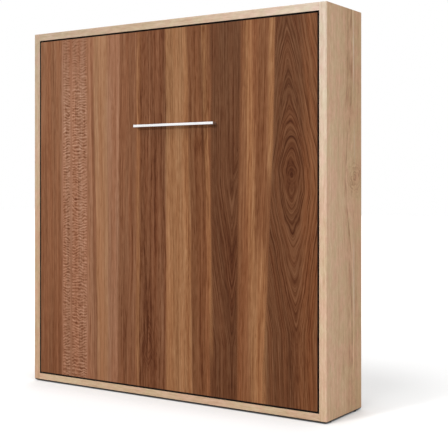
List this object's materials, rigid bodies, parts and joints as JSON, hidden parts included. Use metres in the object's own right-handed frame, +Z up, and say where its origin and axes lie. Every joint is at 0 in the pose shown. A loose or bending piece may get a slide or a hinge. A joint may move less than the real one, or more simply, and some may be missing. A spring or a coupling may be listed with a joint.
{
  "type": "wall bed",
  "caption": "Vertical fold-down wall bed in a light oak cabinet, with a walnut front panel, a bar handle, gas springs and a fold-out foot leg.",
  "frame": {"origin": "on the floor, under the middle of the whole width and depth, handle included", "axes": "+Z up; the front and its handle face -Y; +X runs across the cabinet, to the right seen from the front"},
  "size_m": [2.084, 0.4474, 2.2],
  "materials": {
    "oak": "satin light oak, straight grain",
    "walnut": "satin walnut decor, upright planks",
    "birch": "clear-lacquered birch",
    "bright_steel": "brushed",
    "zinc_steel": "bright zinc plated",
    "frame_paint": "satin powder coat",
    "black_paint": "gloss black",
    "chrome_rod": "polished",
    "black_plastic": "fine texture",
    "rubber": "matte",
    "bronze": "satin",
    "ticking": "knitted ticking",
    "webbing": "woven elastic"
  },
  "bodies": {
    "cabinet": {"side_left": "oak", "side_right": "oak", "top_board": "oak", "bottom_board": "oak", "upper_back_rail": "oak", "lower_back_rail": "oak", "headboard": "oak", "dowels": "birch", "cam_locks": "zinc_steel", "cam_bolts": "zinc_steel", "glides": "black_plastic", "cabinet_pivot_plate_left": "zinc_steel", "cabinet_pivot_plate_right": "zinc_steel", "cabinet_plate_screws": "zinc_steel", "spring_bracket_left": "zinc_steel", "spring_bracket_right": "zinc_steel", "spring_bracket_screws": "zinc_steel", "spring_clips": "zinc_steel", "magnet_catches": "black_plastic", "stop_bumpers": "rubber", "gap_seals": "rubber"},
    "bed": {"front_panel": "walnut", "handle_bar": "bright_steel", "handle_post_left": "bright_steel", "handle_post_right": "bright_steel", "handle_screws": "zinc_steel", "bed_rail_left": "frame_paint", "bed_rail_right": "frame_paint", "head_rail": "frame_paint", "foot_rail": "frame_paint", "centre_rail": "frame_paint", "rail_end_caps": "black_plastic", "panel_brackets": "zinc_steel", "panel_screws": "zinc_steel", "slat_holders_outer": "black_plastic", "slat_holders_centre": "black_plastic", "slats_left": "birch", "slats_right": "birch", "bed_hinge_plate_left": "zinc_steel", "bed_hinge_plate_right": "zinc_steel", "hinge_plate_screws": "zinc_steel", "pivot_bushings": "bronze", "leg_bracket_left": "zinc_steel", "leg_bracket_right": "zinc_steel", "leg_nuts": "zinc_steel", "mattress_stops": "zinc_steel", "striker_plates": "zinc_steel", "mattress": "ticking", "mattress_straps": "webbing", "strap_buckles": "black_plastic"},
    "foot_leg": {"leg_arm_left": "frame_paint", "leg_arm_right": "frame_paint", "leg_cross_tube": "frame_paint", "leg_feet": "rubber"},
    "gas_spring_left": {"gas_cylinder_left": "black_paint"},
    "gas_spring_right": {"gas_cylinder_right": "black_paint"},
    "rod_left": {"gas_rod_left": "chrome_rod"},
    "rod_right": {"gas_rod_right": "chrome_rod"}
  },
  "joints": [
    {"name": "bed_fold", "type": "hinge", "parent": "cabinet", "child": "bed", "pos_m": [0, -0.14667, 0.32], "axis": [1, 0, 0], "range_deg": [0, 90]},
    {"name": "foot_leg_swing", "type": "hinge", "parent": "bed", "child": "foot_leg", "pos_m": [0, -0.13167, 2.135], "axis": [1, 0, 0], "range_deg": [0, 210]},
    {"name": "gas_spring_left_swing", "type": "hinge", "parent": "cabinet", "child": "gas_spring_left", "pos_m": [-0.983, -0.09667, 0.92], "axis": [1, 0, 0], "range_deg": [0, 1.63]},
    {"name": "rod_left_slide", "type": "slide", "parent": "gas_spring_left", "child": "rod_left", "axis": [0, -0.0712, 0.9975], "range_m": [0, 0.19929]},
    {"name": "gas_spring_right_swing", "type": "hinge", "parent": "cabinet", "child": "gas_spring_right", "pos_m": [0.983, -0.09667, 0.92], "axis": [1, 0, 0], "range_deg": [0, 1.63]},
    {"name": "rod_right_slide", "type": "slide", "parent": "gas_spring_right", "child": "rod_right", "axis": [0, -0.0712, 0.9975], "range_m": [0, 0.19929]}
  ],
  "couplings": [
    {"joint": "foot_leg_swing", "follows": "bed_fold", "ratio": 2.3333},
    {"joint": "gas_spring_left_swing", "follows": "bed_fold", "ratio": 0.018055},
    {"joint": "rod_left_slide", "follows": "bed_fold", "m_per_rad": 0.12687},
    {"joint": "gas_spring_right_swing", "follows": "bed_fold", "ratio": 0.018055},
    {"joint": "rod_right_slide", "follows": "bed_fold", "m_per_rad": 0.12687}
  ]
}
